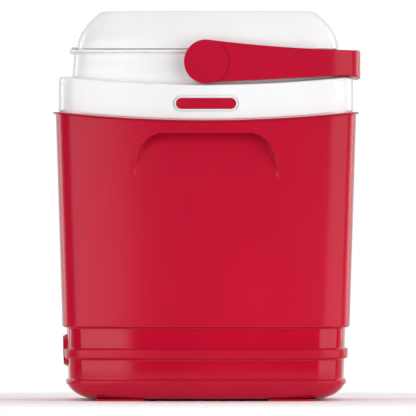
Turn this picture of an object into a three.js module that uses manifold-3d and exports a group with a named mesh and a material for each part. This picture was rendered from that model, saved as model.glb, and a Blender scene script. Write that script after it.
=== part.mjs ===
// A bail-handled cooler box with two transport wheels under its rear edge.
// Millimetres, +Z up. The front faces -Y and the handle lies folded towards +X.
// The origin is on the ground under the middle of the box.
import * as THREE from "three";
import { mergeVertices } from "three/addons/utils/BufferGeometryUtils.js";
import Module from "manifold-3d";

const wasm = await Module();
wasm.setup();

// ---- Driving dimensions ----------------------------------------------------------------------

const GAP = 0.3; // air left between two pieces that touch on the real object
const SIDE_STEPS = 4; // segments in each side of a box outline, an even number
const CORNER_STEPS = 5; // segments in each corner of a box outline
const ROUND_STEPS = 32; // segments in a turned piece

// Outer shell: the widest point of the walls is at the rim, and they taper towards the floor.
const RIM_Z = 344.4; // rim height at the left and right ends
const RIM_DIP = 10.2; // how much lower the rim is in the middle of the front and the back
const RIM_HALF_X = 180;
const RIM_HALF_Y = 152;
const RIM_FLANGE = 3.2; // how far the rim bead stands proud of the walls
const RIM_BEAD = 1.4; // height of the rim bead
const DRAFT = 0.031; // taper of each wall, in mm per mm of height
const CORNER = 34; // size of the upright corners
const BOW = 8; // how far the front and back bow out
const SIDE_BOW = 3; // how far the two sides bow out
const WALL = 3;
const FLOOR_Z = 2.4; // underside of the shell above the ground
const HEEL_Z = 26; // top of the rounded bottom edge
const HEEL_X = 34; // width of the rounded bottom edge at the sides
const HEEL_Y = 14; // and at the front and back
const HEEL_RINGS = 5;
const BASE_INSET = 2.4; // the base is this much narrower than the walls above it
const BANDS = [
  { low: 25.6, high: 51 },
  { low: 62.4, high: 88.2 },
]; // recessed bands around the foot of the shell
const BAND_INSET = 5.2;
const RIB_INSET = 1.2;
const BAND_EDGE = 1.4; // height of the slope at each band edge

// Hand scoop in the front wall: deepest at its top edge, running out to the surface below.
const SCOOP = [
  { z: 318, halfWidth: 58, depth: 15 },
  { z: 314, halfWidth: 69, depth: 14.5 },
  { z: 303, halfWidth: 78, depth: 12 },
  { z: 282, halfWidth: 84, depth: 5.5 },
  { z: 260, halfWidth: 89, depth: -1 },
];
const SCOOP_OUT = 14; // how far the cutter reaches out in front of the wall

// Collar: a skirt plugged into the shell, a ledge for the folded handle, and the neck.
const COLLAR_HALF_X = 176.4;
const COLLAR_HALF_Y = 148.2;
const COLLAR_PLUG = 10; // how deep the skirt reaches into the shell
const LEDGE_Z = 386;
const LEDGE_DIP = 9.8;
const LEDGE_ROUND = 2.6;
const NECK_FOOT_X = 160;
const NECK_FOOT_Y = 132;
const NECK_TOP_X = 158;
const NECK_TOP_Y = 130.4;
const NECK_Z = 419.4; // top of the collar
const LIP_OUT = 5.4;
const LIP_HEIGHT = 3;
const MOUTH_X = 149;
const MOUTH_Y = 120.8;
const NECK_CORNER = 30;

// Inner liner
const LINER_TOP_X = 152;
const LINER_TOP_Y = 123.6;
const LINER_FOOT_X = 145.5;
const LINER_FOOT_Y = 118;
const LINER_FLOOR_Z = 70;
const LINER_WALL = 2;
const LINER_ROUND = 12;

// Lid: a dome with a flat top
const SEAM = 0.8; // open line between the collar and the lid
const LID_X = 2; // the lid's middle lies this far to the right, which leaves room for the hinge
const LID_HALF_X = 156.4;
const LID_HALF_Y = 130.8;
const LID_Z = NECK_Z + SEAM;
const LID_TOP_Z = 464.4;
const LID_SLOPE = 26.6; // how far the dome draws in by its top edge
const LID_CROWN = 1.2; // height of the soft edge around the flat top
const LID_RINGS = 7;
const LID_WALL = 2.4;
const PLUG_X = 146.4; // part of the lid that drops into the mouth
const PLUG_Y = 118.2;
const PLUG_Z = 408;
const PANEL_WALL = 2.4;
const FLANGE_X = 151.4;
const FLANGE_Y = 126.2;
const SEAL_HALF_X = 151.4;
const SEAL_HALF_Y = 126.2;
const SEAL_INSET = 4.6;

// Lid hinge on the left side, sunk into the lip of the collar
const HINGE = { x: -158.8, z: 420 };
const BARREL_RADIUS = 2.4;
const BARREL_CLEAR = 0.4;
const BARREL_HALF = 51.6;
const LUG_FROM = 52;
const LUG_TO = 60;
const PIN_RADIUS = 1.1;
const PIN_BORE = 1.3;
const PIN_HALF = 60.8;

// Carrying handle
const PIVOT_Z = 403.8;
const DISC_RADIUS = 26.2;
const ARM_INNER_Y = 137.2;
const ARM_OUTER_Y = 146.6;
const GRIP_INNER_X = 167.6;
const GRIP_OUTER_X = 184.8;
const GRIP_LOW_Z = 387.6;
const GRIP_HIGH_Z = 417.4;
const GRIP_TIP_Z = 384.3; // the outer edge of the grip hangs lower than the arms
const CAP_OUTER_Y = 149.8;
const STUD_RADIUS = 7;
const STUD_HEAD = 12;
const STUD_HEAD_DEPTH = 3.2;
const BOSS_RADIUS = 14;
const BOSS_INNER_Y = 126.2;
const BOSS_OUTER_Y = ARM_INNER_Y - 0.8;

// Badge plate in the front of the collar
const BADGE = { z: 354, length: 71, height: 12.6, thickness: 1.6 };
const BADGE_RIM = 2.3; // width of the raised ring around it
const BADGE_RIM_OUT = 1.2;
const BADGE_DEPTH = 1.9; // depth of its recess

// Wheels, axle and feet
const WHEEL_RADIUS = 28;
const WHEEL_X = 120;
const WHEEL_HALF = 10;
const AXLE_Y = 115;
const AXLE_Z = WHEEL_RADIUS;
const AXLE_RADIUS = 4;
const AXLE_BORE = 4.3;
const AXLE_HALF = 134;
const RIM_RADIUS = 22.5;
const WELL_RADIUS = 33;
const WELL_INNER_X = 106;
const WELL_OUTER_X = 138;
const CHANNEL_HALF = 7;
const CHANNEL_TOP = 36;
const BRACKET_X = 90;
const BRACKET_HALF_X = 12;
const BRACKET_FRONT_Y = 86;
const BRACKET_LOW_Z = 2.3;
const POCKET_Z = 4.8; // the floor is raised to this height above the two brackets
const POCKET_CLEAR = 0.6;
const SCREW_Y = 94;
const SCREW_OFFSET = 7;
const SCREW_RADIUS = 1.6;
const SCREW_HEAD = 3.2;
const FOOT = { inner: 74, outer: 131, front: -125, back: -97, round: 9 };

// ---- Materials -------------------------------------------------------------------------------

const plastic = (color, roughness) => new THREE.MeshStandardMaterial({ color, roughness, metalness: 0 });
const metal = (color, roughness) => new THREE.MeshStandardMaterial({ color, roughness, metalness: 1 });
const red = () => plastic(0xc21c36, 0.35);
const white = () => plastic(0xf4f4f3, 0.4);
const linerWhite = () => plastic(0xf0f0ee, 0.45);
const foam = () => plastic(0xf3eeda, 0.95);
const rubber = () => plastic(0x1d1d1f, 0.85);
const darkPlastic = () => plastic(0x2b2c2f, 0.5);
const steel = () => metal(0xb8bbc0, 0.3);

// ---- Solids: turning three.js geometry into booleans and back ----------------------------------

function solid(geometry) {
  const bare = geometry.index ? geometry.toNonIndexed() : geometry.clone();
  bare.deleteAttribute("normal");
  bare.deleteAttribute("uv");
  const merged = mergeVertices(bare, 1e-4);
  return new wasm.Manifold(
    new wasm.Mesh({
      numProp: 3,
      vertProperties: new Float32Array(merged.attributes.position.array),
      triVerts: new Uint32Array(merged.index.array),
    }),
  );
}

function geometryOf(manifold) {
  const { vertProperties, triVerts } = manifold.getMesh();
  const geometry = new THREE.BufferGeometry();
  geometry.setAttribute("position", new THREE.BufferAttribute(vertProperties, 3));
  geometry.setIndex(new THREE.BufferAttribute(triVerts, 1));
  geometry.computeVertexNormals();
  return geometry;
}

const joined = (first, ...rest) => rest.reduce((all, next) => all.add(next), first);
const cut = (first, ...rest) => rest.reduce((all, next) => all.subtract(next), first);

// ---- Basic shapes ------------------------------------------------------------------------------

// Where the line through a along u meets the line through b along v.
function crossing(a, u, b, v) {
  const share = ((b.x - a.x) * v.y - (b.y - a.y) * v.x) / (u.x * v.y - u.y * v.x);
  return new THREE.Vector2(a.x + share * u.x, a.y + share * u.y);
}

// A rounded rectangle whose four sides bow out, running anticlockwise from its lower left side.
function boxOutline(halfX, halfY, corner, bow, sideBow) {
  const endX = halfX - corner;
  const endY = halfY - corner;
  const frontEnd = new THREE.Vector2(endX, bow - halfY);
  const sideStart = new THREE.Vector2(halfX - sideBow, -endY);
  const alongFront = new THREE.Vector2(endX, 2 * bow);
  const alongSide = new THREE.Vector2(2 * sideBow, endY);
  const tip = crossing(frontEnd, alongFront, sideStart, alongSide);
  const shape = new THREE.Shape();
  shape.moveTo(-frontEnd.x, frontEnd.y);
  shape.quadraticCurveTo(0, -halfY - bow, frontEnd.x, frontEnd.y);
  shape.quadraticCurveTo(tip.x, tip.y, sideStart.x, sideStart.y);
  shape.quadraticCurveTo(halfX + sideBow, 0, sideStart.x, -sideStart.y);
  shape.quadraticCurveTo(tip.x, -tip.y, frontEnd.x, -frontEnd.y);
  shape.quadraticCurveTo(0, halfY + bow, -frontEnd.x, -frontEnd.y);
  shape.quadraticCurveTo(-tip.x, -tip.y, -sideStart.x, -sideStart.y);
  shape.quadraticCurveTo(-halfX - sideBow, 0, -sideStart.x, sideStart.y);
  shape.quadraticCurveTo(-tip.x, tip.y, -frontEnd.x, frontEnd.y);
  return shape;
}

// One level of a box-shaped piece. A dip lowers its middle and leaves its left and right ends.
function level(z, halfX, halfY, options = {}) {
  const { corner = CORNER, bow = BOW, sideBow = SIDE_BOW, dip = 0, x = 0, y = 0 } = options;
  const { curves } = boxOutline(halfX, halfY, corner, bow, sideBow);
  const points = curves.flatMap((curve, index) =>
    curve.getPoints(index % 2 === 0 ? SIDE_STEPS : CORNER_STEPS).slice(0, -1),
  );
  return points.map((p) => new THREE.Vector3(p.x + x, p.y + y, z - dip * (1 - (p.x / halfX) ** 2)));
}

// A closed skin through levels with equal numbers of points, listed from the lowest up.
function loft(levels) {
  const count = levels[0].length;
  const middle = (points) => points.reduce((sum, p) => sum.add(p), new THREE.Vector3()).divideScalar(count);
  const vertices = [...levels.flat(), middle(levels[0]), middle(levels.at(-1))];
  const bottom = vertices.length - 2;
  const top = vertices.length - 1;
  const lastStart = (levels.length - 1) * count;
  const triangles = [];
  for (let i = 0; i < count; i += 1) {
    const next = (i + 1) % count;
    triangles.push(bottom, next, i);
    triangles.push(top, lastStart + i, lastStart + next);
    for (let start = 0; start < lastStart; start += count) {
      triangles.push(start + i, start + next, start + count + next);
      triangles.push(start + i, start + count + next, start + count + i);
    }
  }
  const geometry = new THREE.BufferGeometry().setFromPoints(vertices);
  geometry.setIndex(triangles);
  return solid(geometry);
}

const X_AXIS = new THREE.Vector3(1, 0, 0);
const Y_AXIS = new THREE.Vector3(0, 1, 0);
const Z_AXIS = new THREE.Vector3(0, 0, 1);

function block(low, high) {
  const size = new THREE.Vector3().subVectors(high, low);
  const centre = new THREE.Vector3().addVectors(low, high).divideScalar(2);
  return solid(new THREE.BoxGeometry(size.x, size.y, size.z).translate(centre.x, centre.y, centre.z));
}

// A cylinder of the given radius from one point to another.
function rod(radius, from, to, steps = ROUND_STEPS) {
  const length = from.distanceTo(to);
  const direction = new THREE.Vector3().subVectors(to, from).normalize();
  const geometry = new THREE.CylinderGeometry(radius, radius, length, steps);
  geometry.applyQuaternion(new THREE.Quaternion().setFromUnitVectors(Y_AXIS, direction));
  const centre = new THREE.Vector3().addVectors(from, to).divideScalar(2);
  return solid(geometry.translate(centre.x, centre.y, centre.z));
}

// A profile of [radius, height] points turned around an axis, starting from the point at.
function turned(profile, axis, at, steps = ROUND_STEPS) {
  const points = profile.map(([radius, height]) => new THREE.Vector2(radius, height));
  const geometry = new THREE.LatheGeometry(points, steps);
  geometry.applyQuaternion(new THREE.Quaternion().setFromUnitVectors(Y_AXIS, axis));
  return solid(geometry.translate(at.x, at.y, at.z));
}

// A shape drawn in x and z, standing upright and extruded from one y to another.
function upright(shape, fromY, toY, steps = 12) {
  const geometry = new THREE.ExtrudeGeometry(shape, {
    depth: toY - fromY,
    bevelEnabled: false,
    curveSegments: steps,
  });
  return solid(geometry.rotateX(Math.PI / 2).translate(0, toY, 0));
}

function pillShape(length, height, centreZ) {
  const radius = height / 2;
  const reach = length / 2 - radius;
  const shape = new THREE.Shape();
  shape.moveTo(-reach, centreZ - radius);
  shape.lineTo(reach, centreZ - radius);
  shape.absarc(reach, centreZ, radius, -Math.PI / 2, Math.PI / 2, false);
  shape.lineTo(-reach, centreZ + radius);
  shape.absarc(-reach, centreZ, radius, Math.PI / 2, (3 * Math.PI) / 2, false);
  return shape;
}

const at = (x, y, z) => new THREE.Vector3(x, y, z);

// ---- Outer shell -------------------------------------------------------------------------------

const wallHalfX = (z) => RIM_HALF_X - DRAFT * (RIM_Z - z);
const wallHalfY = (z) => RIM_HALF_Y - DRAFT * (RIM_Z - z);

function shellLevel(z, inset, dip = 0) {
  return level(z, wallHalfX(z) - inset, wallHalfY(z) - inset, { dip });
}

function heelLevels() {
  const levels = [];
  for (let i = 0; i < HEEL_RINGS; i += 1) {
    const angle = (i / HEEL_RINGS) * (Math.PI / 2);
    const z = FLOOR_Z + (HEEL_Z - FLOOR_Z) * (1 - Math.cos(angle));
    const draw = 1 - Math.sin(angle);
    const halfX = wallHalfX(z) - BASE_INSET - HEEL_X * draw;
    const halfY = wallHalfY(z) - BASE_INSET - HEEL_Y * draw;
    levels.push(level(z, halfX, halfY));
  }
  return levels;
}

function bandLevels() {
  const [lower, upper] = BANDS;
  return [
    shellLevel(lower.low - BAND_EDGE, BASE_INSET),
    shellLevel(lower.low, BAND_INSET),
    shellLevel(lower.high - BAND_EDGE, BAND_INSET),
    shellLevel(lower.high, RIB_INSET),
    shellLevel(upper.low - BAND_EDGE, RIB_INSET),
    shellLevel(upper.low, BAND_INSET),
    shellLevel(upper.high - BAND_EDGE, BAND_INSET),
    shellLevel(upper.high, 0),
  ];
}

function shellOutside() {
  const bead = RIM_Z - RIM_BEAD;
  return loft([
    ...heelLevels(),
    ...bandLevels(),
    shellLevel(230, 0),
    shellLevel(300, 0, RIM_DIP / 2),
    shellLevel(bead - 1.2, 0, RIM_DIP),
    shellLevel(bead, -RIM_FLANGE, RIM_DIP),
    shellLevel(RIM_Z, -RIM_FLANGE, RIM_DIP),
  ]);
}

// The space inside the shell, shrunk by a clearance on every side, up to the given height.
function shellInside(clearance, topZ) {
  const lowInset = BAND_INSET + WALL + clearance;
  const highInset = WALL + clearance;
  const floorZ = FLOOR_Z + WALL + clearance;
  const floorX = wallHalfX(floorZ) - HEEL_X - clearance;
  const floorY = wallHalfY(floorZ) - HEEL_Y - WALL - clearance;
  return loft([
    level(floorZ, floorX, floorY),
    level(floorZ + 8, floorX + 16, floorY + 4),
    shellLevel(HEEL_Z + 2, lowInset),
    shellLevel(BANDS[1].high + 2, lowInset),
    shellLevel(BANDS[1].high + 10, highInset),
    shellLevel(topZ, highInset),
  ]);
}

// The hand scoop as a cutter, grown on all sides by a margin.
function scoopCutter(margin) {
  const levels = SCOOP.map((row) => {
    const front = -wallHalfY(row.z);
    const low = front - SCOOP_OUT;
    const high = front + row.depth + margin;
    const z = row.z === SCOOP[0].z ? row.z + margin : row.z;
    return level(z, row.halfWidth + margin, (high - low) / 2, {
      corner: 4,
      bow: 0,
      sideBow: 0,
      y: (low + high) / 2,
    });
  });
  return loft(levels.reverse());
}

// The wheel wells and the axle channel between them, grown on all sides by a margin.
function runningGear(margin) {
  const radius = WELL_RADIUS + margin;
  const behind = RIM_HALF_Y + 20;
  const below = -10;
  const sides = [-1, 1].map((side) => {
    const from = side * (WELL_INNER_X - margin);
    const to = side * (WELL_OUTER_X + margin);
    const lowX = Math.min(from, to);
    const highX = Math.max(from, to);
    return joined(
      rod(radius, at(from, AXLE_Y, AXLE_Z), at(to, AXLE_Y, AXLE_Z)),
      block(at(lowX, AXLE_Y, below), at(highX, behind, AXLE_Z + radius - 0.4)),
      block(at(lowX, AXLE_Y - radius + 0.4, below), at(highX, AXLE_Y + 1, AXLE_Z)),
    );
  });
  const half = CHANNEL_HALF + margin;
  const channel = block(
    at(-WELL_INNER_X - 1, AXLE_Y - half, below),
    at(WELL_INNER_X + 1, AXLE_Y + half, CHANNEL_TOP + margin),
  );
  const pockets = [-1, 1].map((side) => {
    const reach = BRACKET_HALF_X + POCKET_CLEAR + margin;
    return block(
      at(side * BRACKET_X - reach, BRACKET_FRONT_Y - POCKET_CLEAR - margin, below),
      at(side * BRACKET_X + reach, AXLE_Y, POCKET_Z + margin),
    );
  });
  return joined(channel, ...sides, ...pockets);
}

const screwPlaces = [-1, 1].flatMap((side) =>
  [-1, 1].map((offset) => side * BRACKET_X + offset * SCREW_OFFSET),
);

const screwHoles = (radius) =>
  screwPlaces.map((x) => rod(radius, at(x, SCREW_Y, -2), at(x, SCREW_Y, 15), 12));

function bodyShell() {
  const cavity = cut(shellInside(0, RIM_Z + 20), scoopCutter(WALL), runningGear(WALL));
  return cut(shellOutside(), cavity, scoopCutter(0), runningGear(0), ...screwHoles(SCREW_RADIUS + GAP));
}

// ---- Liner, insulation and collar ----------------------------------------------------------------

function linerSolid(inset, topZ) {
  const corner = 26;
  const foot = (z, extra) =>
    level(z, LINER_FOOT_X - inset - extra, LINER_FOOT_Y - inset - extra, { corner, bow: 5 });
  const floorZ = LINER_FLOOR_Z + inset;
  return loft([
    foot(floorZ, LINER_ROUND),
    foot(floorZ + LINER_ROUND * 0.3, LINER_ROUND * 0.3),
    foot(floorZ + LINER_ROUND, 0),
    level(topZ, LINER_TOP_X - inset, LINER_TOP_Y - inset, { corner, bow: 6 }),
  ]);
}

const liner = () => cut(linerSolid(0, NECK_Z - WALL - GAP), linerSolid(LINER_WALL, NECK_Z + 5));

const neckOptions = { corner: NECK_CORNER };

function collarOutside() {
  const skirtX = COLLAR_HALF_X;
  const skirtY = COLLAR_HALF_Y;
  const round = LEDGE_ROUND;
  const lipX = NECK_TOP_X + LIP_OUT;
  const lipY = NECK_TOP_Y + LIP_OUT;
  return loft([
    level(RIM_Z - COLLAR_PLUG, skirtX - 0.6, skirtY - 0.6, { dip: RIM_DIP }),
    level(RIM_Z + GAP, skirtX, skirtY, { dip: RIM_DIP }),
    level(LEDGE_Z - round, skirtX, skirtY, { dip: LEDGE_DIP }),
    level(LEDGE_Z - round * 0.3, skirtX - round * 0.3, skirtY - round * 0.3, { dip: LEDGE_DIP }),
    level(LEDGE_Z, skirtX - round, skirtY - round, { dip: LEDGE_DIP }),
    level(LEDGE_Z + 0.5, NECK_FOOT_X, NECK_FOOT_Y, { ...neckOptions, dip: LEDGE_DIP }),
    level(NECK_Z - LIP_HEIGHT - 1, NECK_TOP_X, NECK_TOP_Y, neckOptions),
    level(NECK_Z - LIP_HEIGHT, lipX, lipY, neckOptions),
    level(NECK_Z, lipX, lipY, neckOptions),
  ]);
}

function collarInside() {
  const skirtX = COLLAR_HALF_X - WALL;
  const skirtY = COLLAR_HALF_Y - WALL;
  const under = LEDGE_Z - WALL;
  const topZ = NECK_Z - WALL;
  return loft([
    level(RIM_Z - COLLAR_PLUG - 20, skirtX, skirtY),
    level(under - 1, skirtX, skirtY, { dip: LEDGE_DIP }),
    level(under, NECK_FOOT_X - WALL, NECK_FOOT_Y - WALL, { ...neckOptions, dip: LEDGE_DIP }),
    level(topZ, NECK_TOP_X - WALL, NECK_TOP_Y - WALL, neckOptions),
  ]);
}

const mouth = () =>
  loft([
    level(NECK_Z - 12, MOUTH_X, MOUTH_Y, { corner: 26, bow: 6 }),
    level(NECK_Z + 12, MOUTH_X, MOUTH_Y, { corner: 26, bow: 6 }),
  ]);

// The groove in the lip that the lid's barrel turns in, and the two lugs at its ends.
const hingeGroove = () =>
  rod(BARREL_RADIUS + BARREL_CLEAR, at(HINGE.x, -LUG_FROM, HINGE.z), at(HINGE.x, LUG_FROM, HINGE.z), 24);

const hingeLug = (fromY, toY) => rod(BARREL_RADIUS, at(HINGE.x, fromY, HINGE.z), at(HINGE.x, toY, HINGE.z), 24);

const hingeBore = () => rod(PIN_BORE, at(HINGE.x, -70, HINGE.z), at(HINGE.x, 70, HINGE.z), 20);

function collar() {
  const bosses = [-1, 1].map((side) =>
    rod(BOSS_RADIUS, at(0, side * BOSS_INNER_Y, PIVOT_Z), at(0, side * BOSS_OUTER_Y, PIVOT_Z)),
  );
  const bores = [-1, 1].map((side) =>
    rod(STUD_RADIUS + GAP, at(0, side * 110, PIVOT_Z), at(0, side * 150, PIVOT_Z)),
  );
  const front = -COLLAR_HALF_Y;
  const rim = upright(
    pillShape(BADGE.length + 2 * BADGE_RIM, BADGE.height + 2 * BADGE_RIM, BADGE.z),
    front - BADGE_RIM_OUT,
    front + WALL - 0.5,
  );
  const recess = upright(
    pillShape(BADGE.length + 2 * GAP, BADGE.height + 2 * GAP, BADGE.z),
    front - 5,
    front + BADGE_DEPTH,
  );
  const skin = joined(cut(collarOutside(), collarInside(), mouth()), rim, ...bosses);
  const lugs = joined(hingeLug(LUG_FROM, LUG_TO), hingeLug(-LUG_TO, -LUG_FROM));
  return cut(joined(skin, lugs), recess, hingeGroove(), hingeBore(), ...bores);
}

// Foam that fills the space between the shell, the collar and the liner.
function bodyInsulation() {
  const clear = GAP + 0.1;
  const lower = shellInside(clear, RIM_Z - COLLAR_PLUG - RIM_DIP - 2);
  const inset = WALL + clear;
  const skirtX = COLLAR_HALF_X - inset - 0.6;
  const skirtY = COLLAR_HALF_Y - inset - 0.6;
  const under = LEDGE_Z - LEDGE_DIP - WALL - 1.5;
  const upper = loft([
    level(RIM_Z - COLLAR_PLUG - RIM_DIP - 5, skirtX, skirtY),
    level(under, skirtX, skirtY),
    level(under + 0.5, NECK_TOP_X - inset, NECK_TOP_Y - inset, neckOptions),
    level(NECK_Z - WALL - clear, NECK_TOP_X - inset, NECK_TOP_Y - inset, neckOptions),
  ]);
  const bosses = [-1, 1].map((side) =>
    rod(BOSS_RADIUS + 1, at(0, side * 118, PIVOT_Z), at(0, side * 150, PIVOT_Z)),
  );
  return cut(
    joined(lower, upper),
    linerSolid(-clear, NECK_Z + 5),
    scoopCutter(WALL + clear),
    runningGear(WALL + clear),
    ...bosses,
    ...screwHoles(SCREW_RADIUS + 0.6),
  );
}

function badgePlate() {
  const back = -COLLAR_HALF_Y + BADGE_DEPTH - GAP;
  return upright(pillShape(BADGE.length, BADGE.height, BADGE.z), back - BADGE.thickness, back);
}

// ---- Lid -----------------------------------------------------------------------------------------

// The dome, shrunk by an inset. It starts at the given height and ends at the inset flat top.
function dome(inset, fromZ) {
  const height = LID_TOP_Z - LID_CROWN - LID_Z;
  const levels = [];
  for (let i = 0; i < LID_RINGS; i += 1) {
    const share = Math.sqrt(i / (LID_RINGS - 1));
    const draw = LID_SLOPE * share ** 2 + inset;
    const z = fromZ + (LID_Z + height - inset - fromZ) * share;
    levels.push(level(z, LID_HALF_X - draw, LID_HALF_Y - draw, { corner: 32, x: LID_X }));
  }
  const topInset = LID_SLOPE + 16 + inset;
  const top = level(LID_TOP_Z - inset, LID_HALF_X - topInset, LID_HALF_Y - topInset, { corner: 28, x: LID_X });
  return loft([...levels, top]);
}

function lidShell() {
  const web = block(at(HINGE.x, -BARREL_HALF, LID_Z), at(HINGE.x + 7, BARREL_HALF, LID_Z + 2));
  const barrel = rod(BARREL_RADIUS, at(HINGE.x, -BARREL_HALF, HINGE.z), at(HINGE.x, BARREL_HALF, HINGE.z), 24);
  const wallX = LID_HALF_X - LID_WALL;
  const wallY = LID_HALF_Y - LID_WALL;
  const rim = loft([
    level(LID_Z - 5, wallX, wallY, { corner: 32, x: LID_X }),
    level(LID_Z + 2.1, wallX, wallY, { corner: 32, x: LID_X }),
  ]);
  const inside = joined(dome(LID_WALL, LID_Z + 2), rim);
  return cut(joined(dome(0, LID_Z), cut(web, inside), barrel), inside, hingeBore());
}

const trayOptions = { corner: 24, bow: 6 };

function lidInnerPanel() {
  const rimZ = LID_Z + 0.8;
  const flange = loft([
    level(rimZ, FLANGE_X, FLANGE_Y, { corner: 35 }),
    level(rimZ + PANEL_WALL, FLANGE_X, FLANGE_Y, { corner: 35 }),
  ]);
  const plug = loft([
    level(PLUG_Z, PLUG_X - 2, PLUG_Y - 2, trayOptions),
    level(PLUG_Z + 2, PLUG_X, PLUG_Y, trayOptions),
    level(rimZ + 1, PLUG_X, PLUG_Y, trayOptions),
  ]);
  return cut(joined(flange, plug), trayInside(PANEL_WALL, rimZ + 10));
}

function trayInside(inset, topZ) {
  return loft([
    level(PLUG_Z + inset, PLUG_X - 1 - inset, PLUG_Y - 1 - inset, trayOptions),
    level(topZ, PLUG_X - inset, PLUG_Y - inset, trayOptions),
  ]);
}

function lidInsulation() {
  const clear = GAP + 0.1;
  const aboveFlange = LID_Z + 0.8 + PANEL_WALL + clear;
  return joined(dome(LID_WALL + clear + 1.2, aboveFlange), trayInside(PANEL_WALL + clear, aboveFlange + 1));
}

function lidSeal() {
  const lowZ = NECK_Z + GAP;
  const highZ = LID_Z + 0.8 - GAP;
  const innerX = SEAL_HALF_X - SEAL_INSET;
  const innerY = SEAL_HALF_Y - SEAL_INSET;
  const outer = loft([
    level(lowZ, SEAL_HALF_X, SEAL_HALF_Y, { corner: 35 }),
    level(highZ, SEAL_HALF_X, SEAL_HALF_Y, { corner: 35 }),
  ]);
  const inner = loft([
    level(lowZ - 2, innerX, innerY, { corner: 24, bow: 6 }),
    level(highZ + 2, innerX, innerY, { corner: 24, bow: 6 }),
  ]);
  return cut(outer, inner);
}

const hingePin = () =>
  rod(PIN_RADIUS, at(HINGE.x, -PIN_HALF, HINGE.z), at(HINGE.x, PIN_HALF, HINGE.z), 20);

// ---- Handle --------------------------------------------------------------------------------------

// Side view of the folded handle: a disc around the pivot and an arm that narrows to the grip.
function handleProfile() {
  const shape = new THREE.Shape();
  const tip = GRIP_OUTER_X;
  shape.moveTo(3.6, PIVOT_Z + 25.95);
  shape.quadraticCurveTo(88, PIVOT_Z + 15.4, 176, GRIP_HIGH_Z);
  shape.lineTo(tip - 1.5, GRIP_HIGH_Z);
  shape.quadraticCurveTo(tip, GRIP_HIGH_Z, tip, GRIP_HIGH_Z - 1.5);
  shape.lineTo(tip, GRIP_TIP_Z + 1.2);
  shape.quadraticCurveTo(tip, GRIP_TIP_Z, tip - 2, GRIP_TIP_Z);
  shape.lineTo(171, GRIP_LOW_Z);
  shape.quadraticCurveTo(80, PIVOT_Z - 21.2, 9, PIVOT_Z - 24.6);
  shape.absarc(0, PIVOT_Z, DISC_RADIUS, -1.22, 1.433, true);
  return shape;
}

// Top view of the handle: a U that is open on the left.
function handlePlan() {
  const outer = loft([
    level(PIVOT_Z - 40, GRIP_OUTER_X, ARM_OUTER_Y, { corner: 36, sideBow: 2 }),
    level(PIVOT_Z + 40, GRIP_OUTER_X, ARM_OUTER_Y, { corner: 36, sideBow: 2 }),
  ]);
  const inner = loft([
    level(PIVOT_Z - 50, GRIP_INNER_X, ARM_INNER_Y, { corner: 28, sideBow: 2 }),
    level(PIVOT_Z + 50, GRIP_INNER_X, ARM_INNER_Y, { corner: 28, sideBow: 2 }),
  ]);
  return cut(outer, inner);
}

function handle() {
  const bores = [-1, 1].flatMap((side) => [
    rod(STUD_RADIUS + GAP, at(0, side * 120, PIVOT_Z), at(0, side * 160, PIVOT_Z)),
    rod(STUD_HEAD + GAP, at(0, side * (ARM_OUTER_Y - STUD_HEAD_DEPTH - 2 * GAP), PIVOT_Z), at(0, side * 160, PIVOT_Z)),
  ]);
  return cut(handlePlan().intersect(upright(handleProfile(), -170, 170, 16)), ...bores);
}

// A shallow round cap over the pivot. Side is -1 at the front and 1 at the back.
function handleCap(side) {
  const thickness = CAP_OUTER_Y - ARM_OUTER_Y - GAP;
  const profile = [
    [0, 0],
    [DISC_RADIUS - 0.6, 0],
    [DISC_RADIUS, 0.6],
    [DISC_RADIUS, thickness - 1.2],
    [DISC_RADIUS - 1.2, thickness],
    [0, thickness],
  ];
  return turned(profile, at(0, side, 0), at(0, side * (ARM_OUTER_Y + GAP), PIVOT_Z));
}

function pivotStud(side) {
  const headY = ARM_OUTER_Y - STUD_HEAD_DEPTH - GAP;
  const shank = rod(STUD_RADIUS, at(0, side * (BOSS_INNER_Y + GAP), PIVOT_Z), at(0, side * (headY + 1), PIVOT_Z));
  const head = rod(STUD_HEAD, at(0, side * headY, PIVOT_Z), at(0, side * (ARM_OUTER_Y - GAP), PIVOT_Z));
  return shank.add(head);
}

// ---- Wheels, axle and feet -----------------------------------------------------------------------

const axle = () => rod(AXLE_RADIUS, at(-AXLE_HALF, AXLE_Y, AXLE_Z), at(AXLE_HALF, AXLE_Y, AXLE_Z), 24);

function wheelHub(side) {
  const half = WHEEL_HALF - 1;
  const web = 3;
  const profile = [
    [AXLE_BORE, -WHEEL_HALF],
    [9, -WHEEL_HALF],
    [10, -web],
    [18.5, -web],
    [19.5, -half],
    [RIM_RADIUS, -half],
    [RIM_RADIUS, half],
    [19.5, half],
    [18.5, web],
    [10, web],
    [9, WHEEL_HALF],
    [AXLE_BORE, WHEEL_HALF],
    [AXLE_BORE, -WHEEL_HALF],
  ];
  return turned(profile, X_AXIS, at(side * WHEEL_X, AXLE_Y, AXLE_Z), 24);
}

function tyre(side) {
  const profile = [
    [RIM_RADIUS + GAP, -WHEEL_HALF + 1],
    [WHEEL_RADIUS - 2, -WHEEL_HALF],
    [WHEEL_RADIUS, -WHEEL_HALF + 2.5],
    [WHEEL_RADIUS, WHEEL_HALF - 2.5],
    [WHEEL_RADIUS - 2, WHEEL_HALF],
    [RIM_RADIUS + GAP, WHEEL_HALF - 1],
    [RIM_RADIUS + GAP, -WHEEL_HALF + 1],
  ];
  return turned(profile, X_AXIS, at(side * WHEEL_X, AXLE_Y, AXLE_Z), 36);
}

// A push-on cap that keeps the wheel on its axle.
function axleCap(side) {
  const innerX = WHEEL_X + WHEEL_HALF + 0.5;
  const profile = [
    [AXLE_RADIUS + GAP, 0],
    [8, 0],
    [8, 2.5],
    [6, 4.8],
    [0, 4.8],
    [0, 3.9],
    [AXLE_RADIUS + GAP, 3.9],
    [AXLE_RADIUS + GAP, 0],
  ];
  return turned(profile, at(side, 0, 0), at(side * innerX, AXLE_Y, AXLE_Z), 24);
}

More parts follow.
